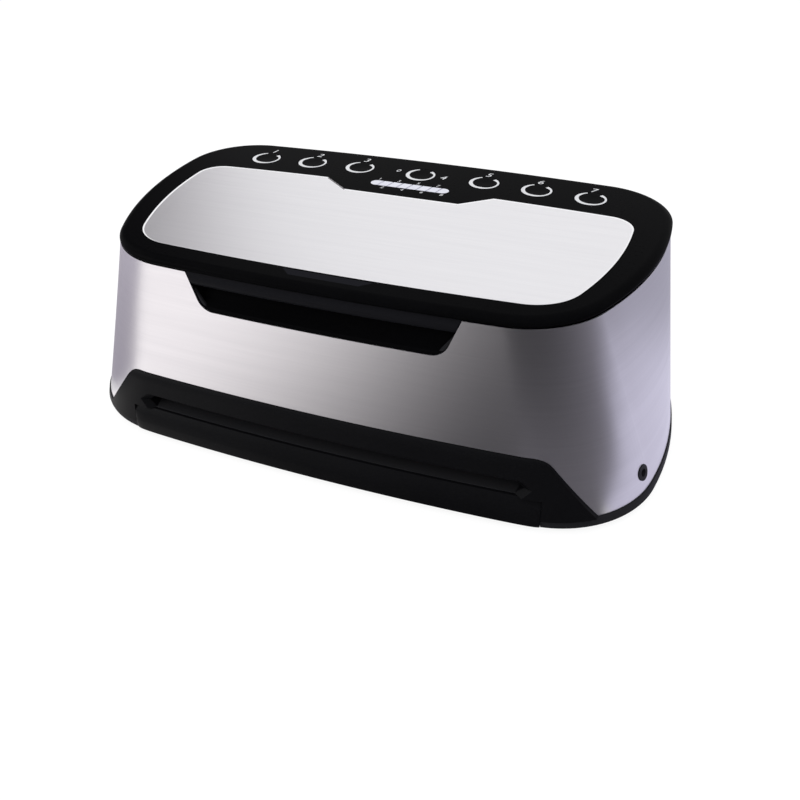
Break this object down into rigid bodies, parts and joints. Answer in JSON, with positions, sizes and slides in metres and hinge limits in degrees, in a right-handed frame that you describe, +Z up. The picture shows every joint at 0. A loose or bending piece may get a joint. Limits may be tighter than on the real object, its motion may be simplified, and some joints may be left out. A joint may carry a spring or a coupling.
{
  "type": "vacuum sealer",
  "caption": "Countertop vacuum sealer: flared brushed-steel body, hinged black cover with steel plate and keys, bag mouth low in front over a pull-out drip tray.",
  "frame": {"origin": "centre of the footprint, at the surface that the feet stand on", "axes": "+X along the width to the right, +Y from the bag mouth to the rear, +Z up"},
  "size_m": [0.481, 0.2738, 0.16],
  "materials": {
    "black_strip": "moulded, satin",
    "brushed_shell": "brushed along the wall",
    "brushed_plate": "brushed along its length",
    "gloss_black": "polished moulding",
    "bar_black": "semi-gloss moulding",
    "key_black": "polished, printed ring",
    "grey_plastic": "moulded",
    "white_plastic": "moulded",
    "rail_plastic": "moulded",
    "carriage_plastic": "moulded",
    "blade_steel": "ground",
    "gasket_foam": "closed-cell foam",
    "silicone_red": "silicone",
    "heat_ribbon": "rolled",
    "ptfe_tan": "coated glass cloth",
    "turned_steel": "turned",
    "bearing_brass": "cast",
    "motor_zinc": "plated",
    "pump_black": "moulded",
    "hose_silicone": "extruded",
    "sensor_blue": "moulded",
    "transformer_iron": "varnished laminations",
    "board_green": "solder mask",
    "port_black": "moulded",
    "hinge_black": "moulded",
    "foot_rubber": "moulded",
    "lamp_white": "clear-topped light guide"
  },
  "bodies": {
    "base": {"base_pan": "black_strip", "steel_shell": "brushed_shell", "mouth_bezel": "bar_black", "grip_pocket": "gloss_black", "inner_deck": "black_strip", "roll_cradle": "white_plastic", "cutter_rail": "rail_plastic", "lower_jaw": "grey_plastic", "lower_gasket": "gasket_foam", "seal_element": "heat_ribbon", "ptfe_tape": "ptfe_tan", "bearing_blocks": "bearing_brass", "clamp_motor": "motor_zinc", "pump_motor": "motor_zinc", "pump_head": "pump_black", "vacuum_hose": "hose_silicone", "port_hose": "hose_silicone", "vacuum_sensor": "sensor_blue", "transformer": "transformer_iron", "main_board": "board_green", "accessory_port": "port_black", "cord_gland": "black_strip", "feet": "foot_rubber", "base_screws": "turned_steel", "hinge_brackets": "hinge_black", "hinge_pins": "turned_steel"},
    "cover": {"lid_frame": "gloss_black", "lid_plate": "brushed_plate", "lid_liner": "grey_plastic", "control_board": "board_green", "indicator_bar": "lamp_white", "lid_screws": "turned_steel"},
    "tray": {"drip_tray": "bar_black"},
    "press": {"press_beam": "white_plastic", "upper_gasket": "gasket_foam", "pressure_strip": "silicone_red"},
    "pinion_shaft": {"lift_shaft": "turned_steel"},
    "cutter": {"cutter_carriage": "carriage_plastic", "cutter_blade": "blade_steel"},
    "button_1": {"key_1": "key_black"},
    "button_2": {"key_2": "key_black"},
    "button_3": {"key_3": "key_black"},
    "button_4": {"key_4": "key_black"},
    "button_5": {"key_5": "key_black"},
    "button_6": {"key_6": "key_black"},
    "button_7": {"key_7": "key_black"}
  },
  "joints": [
    {"name": "cover_hinge", "type": "hinge", "parent": "base", "child": "cover", "pos_m": [0, 0.12748, 0.148], "axis": [-1, 0, 0], "range_deg": [0, 75]},
    {"name": "tray_slide", "type": "slide", "parent": "base", "child": "tray", "axis": [0, -1, 0], "range_m": [0, 0.09]},
    {"name": "press_slide", "type": "slide", "parent": "base", "child": "press", "axis": [0, 0, -1], "range_m": [0, 0.0065]},
    {"name": "pinion_turn", "type": "hinge", "parent": "base", "child": "pinion_shaft", "pos_m": [0, -0.04714, 0.065], "axis": [1, 0, 0], "range_deg": [0, 36]},
    {"name": "cutter_slide", "type": "slide", "parent": "base", "child": "cutter", "axis": [1, 0, 0], "range_m": [-0.136, 0.136]},
    {"name": "button_1_press", "type": "slide", "parent": "cover", "child": "button_1", "axis": [0, 0, -1], "range_m": [0, 0.0008], "stiffness_N_per_m": 900, "springref_m": -0.001},
    {"name": "button_2_press", "type": "slide", "parent": "cover", "child": "button_2", "axis": [0, 0, -1], "range_m": [0, 0.0008], "stiffness_N_per_m": 900, "springref_m": -0.001},
    {"name": "button_3_press", "type": "slide", "parent": "cover", "child": "button_3", "axis": [0, 0, -1], "range_m": [0, 0.0008], "stiffness_N_per_m": 900, "springref_m": -0.001},
    {"name": "button_4_press", "type": "slide", "parent": "cover", "child": "button_4", "axis": [0, 0, -1], "range_m": [0, 0.0008], "stiffness_N_per_m": 900, "springref_m": -0.001},
    {"name": "button_5_press", "type": "slide", "parent": "cover", "child": "button_5", "axis": [0, 0, -1], "range_m": [0, 0.0008], "stiffness_N_per_m": 900, "springref_m": -0.001},
    {"name": "button_6_press", "type": "slide", "parent": "cover", "child": "button_6", "axis": [0, 0, -1], "range_m": [0, 0.0008], "stiffness_N_per_m": 900, "springref_m": -0.001},
    {"name": "button_7_press", "type": "slide", "parent": "cover", "child": "button_7", "axis": [0, 0, -1], "range_m": [0, 0.0008], "stiffness_N_per_m": 900, "springref_m": -0.001}
  ],
  "couplings": [
    {"joint": "pinion_turn", "follows": "press_slide", "rad_per_m": 95.238}
  ]
}
